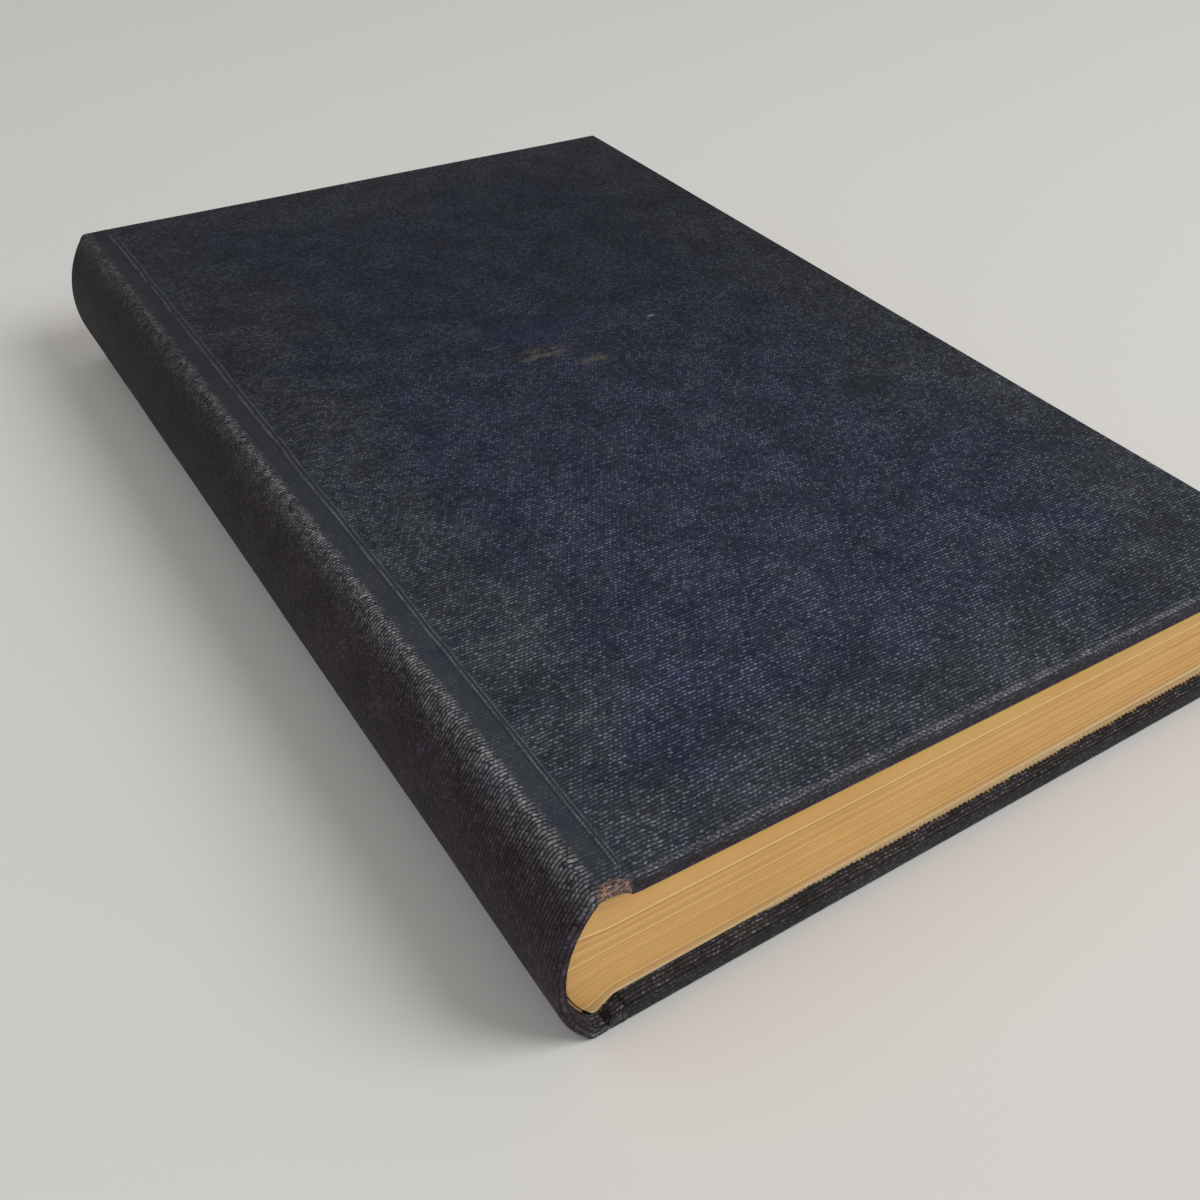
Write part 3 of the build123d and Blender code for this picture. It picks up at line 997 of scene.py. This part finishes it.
def text_block_piece():
    """The sewn pages: one closed block whose cut faces follow every gathering."""
    bm = bmesh.new()
    leaf_layer = bm.verts.layers.float.new("leaf")
    grid = bmesh.ops.create_grid(bm, x_segments=LEAF_COLUMNS, y_segments=LEAF_ROWS, size=0.5)
    steps = [noise.noise(Vector((i * 0.37, 3.1, 0.0))) for i in range(LEAF_ROWS + 1)]
    fore_steps = [noise.noise(Vector((i * 0.55, 9.7, 0.0))) for i in range(LEAF_ROWS + 1)]
    for v in grid["verts"]:
        run, leaf = v.co.x + 0.5, v.co.y + 0.5
        row = round(leaf * LEAF_ROWS)
        run = run ** 1.35 if run < 1 else 1.0
        place = leaf_place(leaf, run)
        v[leaf_layer] = leaf
        ragged = fore_steps[row] * 0.16 * run ** 8
        v.co = Vector((place.x + ragged, -PAGE_HALF_HEIGHT + 0.05 * abs(steps[row]), place.z))
    region = list(bm.faces)
    for i in range(PAGE_SEGMENTS):
        region, moved = extrude_on(bm, region, i == 0)
        bmesh.ops.translate(bm, verts=moved, vec=(0, 2 * (PAGE_HALF_HEIGHT - 0.06) / PAGE_SEGMENTS, 0))
    for face in bm.faces:
        face.smooth = True
    for edge in bm.edges:
        if len(edge.link_faces) == 2 and edge.calc_face_angle(0) > 0.6:
            edge.smooth = False
    bmesh.ops.recalc_face_normals(bm, faces=bm.faces)
    piece = finish_piece(bm, "page_stack", PAGE_EDGES)
    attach(piece, ROOT)
    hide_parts("text_block")
    return piece


# ---------------------------------------------------------------- pastedowns

SHEET_FACE = 3.55            # inner face of the glued endpaper, inwards from the cover's outer face
SHEET_THICKNESS = 0.08
SHEET_START = 4.0            # from here on the glued endpaper lies on the board
SHEET_MARGIN = 3.3           # cloth left bare beyond it at the fore edge
SHEET_END_MARGIN = 3.8       # and at the head and tail, before its torn edge
SHEET_ROWS = (0.0, 1.0, 2.5, 4.5, 7.0, 9.6, 10.6, 11.2, 11.8, 12.2, 12.6, 13.4)
FRINGE_START = 3.5
FRINGE_STEP = 0.23


def pastedown_path():
    """The endpaper from its fold at the joint to the fore edge of the cover: along, inwards."""
    path = [(0.05, 1.50), (0.7, 1.50), (1.4, 1.49), (2.0, 1.48), (2.5, 1.50), (2.85, 1.62), (3.0, 1.95),
            (3.04, 2.6), (3.06, 3.2), (3.15, 3.45), (3.4, 3.52), (SHEET_START, SHEET_FACE)]
    start, fold_end, end = SHEET_START, COVER_LENGTH - TURN_IN, COVER_LENGTH - SHEET_MARGIN
    places = steps_from(start, FLAP_END - 1.0 - start, 14)
    places += [FLAP_END - 0.4, FLAP_END, FLAP_END + 0.4]
    places += steps_from(FLAP_END + 0.4, fold_end - 1.6 - FLAP_END, 44)
    places += [fold_end - 0.6, fold_end, fold_end + 0.6]
    places += steps_from(fold_end + 0.6, end - fold_end - 0.6, 18)
    return path + [(along, SHEET_FACE) for along in places]


def fringe_edge(along, end):
    """How far the glued paper's torn edge stands out, in teeth a little under a millimetre apart."""
    shift = 0.35 * noise.noise(Vector((along / 2.3, end * 5.0, 0.5)))
    tooth = 1 - 2 * abs((along / 0.92 + shift) % 1.0 - 0.5)
    strength = 0.55 + 0.7 * noise.noise(Vector((along / 1.9, end * 9.0, 1.0)))
    grown = clamp((along - 18.0) / 40.0)
    drift = noise.noise(Vector((along / 7.0, end * 4.0, 2.0)))
    return grown * (0.3 + 0.95 * tooth * max(0.1, strength)) + 0.3 * drift


def pastedown_piece(side):
    """Endpaper glued inside a cover: the folded-in cloth shows through it, its edges are feathered."""
    path = pastedown_path()
    columns = len(path)
    half = HALF_HEIGHT - SHEET_END_MARGIN
    rows = end_spacing(half, 52, SHEET_ROWS)
    sheet_end = path[-1][0]
    bm = bmesh.new()
    uv = bm.loops.layers.uv.new("sheet")
    flat = {}

    def lay(v, along, inward, y, length):
        v.co = on_cover(side, along, inward, y)
        v.co.z += cover_wave(v.co) * clamp(along / FLAT_JOINT) * (1 - INNER_CALM)
        flat[v] = (length, y)

    grid = bmesh.ops.create_grid(bm, x_segments=columns - 1, y_segments=len(rows) - 1, size=0.5)
    for v in grid["verts"]:
        column = round((v.co.x + 0.5) * (columns - 1))
        y = rows[round((v.co.y + 0.5) * (len(rows) - 1))]
        along, inward = path[column]
        length = column * 0.6 if column < 12 else along + SHEET_START
        if along > BOARD_INSIDE:
            inward -= FOLD_RECESS * fold_step(along + 0.4, abs(y) + 0.4) - 0.12 * flap_step(along, y)
        if column == columns - 1:
            along += 0.3 * noise.noise(Vector((y / 0.9, 2.0, 7.0)))
        lay(v, along, inward, y, length)
    fringe_columns = round((sheet_end - FRINGE_START) / FRINGE_STEP)
    for end in (-1, 1):
        strip = bmesh.ops.create_grid(bm, x_segments=fringe_columns, y_segments=2, size=0.5)
        for v in strip["verts"]:
            along = FRINGE_START + (v.co.x + 0.5) * (sheet_end - FRINGE_START)
            share = (v.co.y + 0.5) if end > 0 else 0.5 - v.co.y
            y = end * (half - 0.05 + share * (0.8 + fringe_edge(along, end)))
            lay(v, along, SHEET_FACE + 0.01, y, along + SHEET_START)
    for face in bm.faces:
        face.smooth = True
        for corner in face.loops:
            corner[uv].uv = flat[corner.vert]
    bmesh.ops.recalc_face_normals(bm, faces=bm.faces)
    bmesh.ops.solidify(bm, geom=list(bm.faces), thickness=SHEET_THICKNESS)
    bmesh.ops.recalc_face_normals(bm, faces=bm.faces)
    piece = finish_piece(bm, f"{side}_pastedown_sheet", PASTEDOWN_PAPER)
    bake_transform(piece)
    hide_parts(f"{side}_pastedown", f"{side}_mull_flap")
    return piece


# ---------------------------------------------------------------- stage

def make_floor():
    bm = bmesh.new()
    bmesh.ops.create_grid(bm, x_segments=4, y_segments=4, size=4000.0)
    bmesh.ops.translate(bm, verts=bm.verts, vec=(0, 0, cad_box[0].z / MM - 0.05))
    material, tree, surface = new_material("studio_floor", Roughness=0.9, Specular_IOR_Level=0.1)
    place = add_node(tree, "ShaderNodeTexCoord").outputs["Object"]
    shade = mix(tree, cloud(tree, place, 1.5, 3.0), colour(218, 216, 212), colour(224, 222, 218))
    tree.links.new(shade, surface.inputs["Base Color"])
    finish_piece(bm, "floor", material)


def make_light(name, place, aim, size, power):
    data = bpy.data.lights.new(name, "AREA")
    data.shape = "DISK"
    data.size = size
    data.energy = power
    light = bpy.data.objects.new(name, data)
    light.location = place
    light.rotation_mode = "QUATERNION"
    light.rotation_quaternion = (Vector(aim) - Vector(place)).to_track_quat("-Z", "Y")
    bpy.context.scene.collection.objects.link(light)


def make_studio():
    world = bpy.data.worlds.new("studio")
    world.use_nodes = True
    background = world.node_tree.nodes["Background"]
    background.inputs["Color"].default_value = (1.0, 1.0, 1.0, 1.0)
    background.inputs["Strength"].default_value = 0.38
    bpy.context.scene.world = world
    make_light("key", (0.75, -0.85, 1.15), (0, 0, 0), 0.9, 15.0)
    make_light("fill", (-0.9, 0.3, 1.2), (0, 0, 0), 1.2, 3.0)


CAMERA_LENS = 38.99
CAMERA_PLACE = (-0.11908, -0.19306, 0.15855)


def make_camera():
    data = bpy.data.cameras.new("camera")
    data.sensor_width = 36.0
    data.lens = CAMERA_LENS
    data.clip_start = 0.01
    camera = bpy.data.objects.new("camera", data)
    right = Vector((0.84509808, -0.53454284, 0.00855501))
    down = Vector((-0.33588916, -0.5433454, -0.76938563))
    forward = Vector((0.41591791, 0.64733278, -0.6387273))
    turn = Matrix((right, -down, -forward)).transposed().to_4x4()
    camera.matrix_world = Matrix.Translation(CAMERA_PLACE) @ turn
    bpy.context.scene.collection.objects.link(camera)
    bpy.context.scene.camera = camera


bpy.context.scene.view_settings.view_transform = "Standard"
make_camera()
make_studio()
make_floor()

case_half("front_case", "front", ("front_cloth", "front_board", "spine_cloth"))
case_half("back_case", "back", ("back_cloth", "back_board", "spine_card"))
frayed_threads()
text_block_piece()
for side in ("front", "back"):
    pastedown_piece(side)

node_materials = {
    "front_flyleaf": ENDPAPER, "back_flyleaf": ENDPAPER,
    "spine_mull": MULL_GAUZE,
    "spine_lining": LINING_PAPER,
}
for node_name, material in node_materials.items():
    node = frame["nodes"][node_name]
    node.data.materials.clear()
    node.data.materials.append(material)
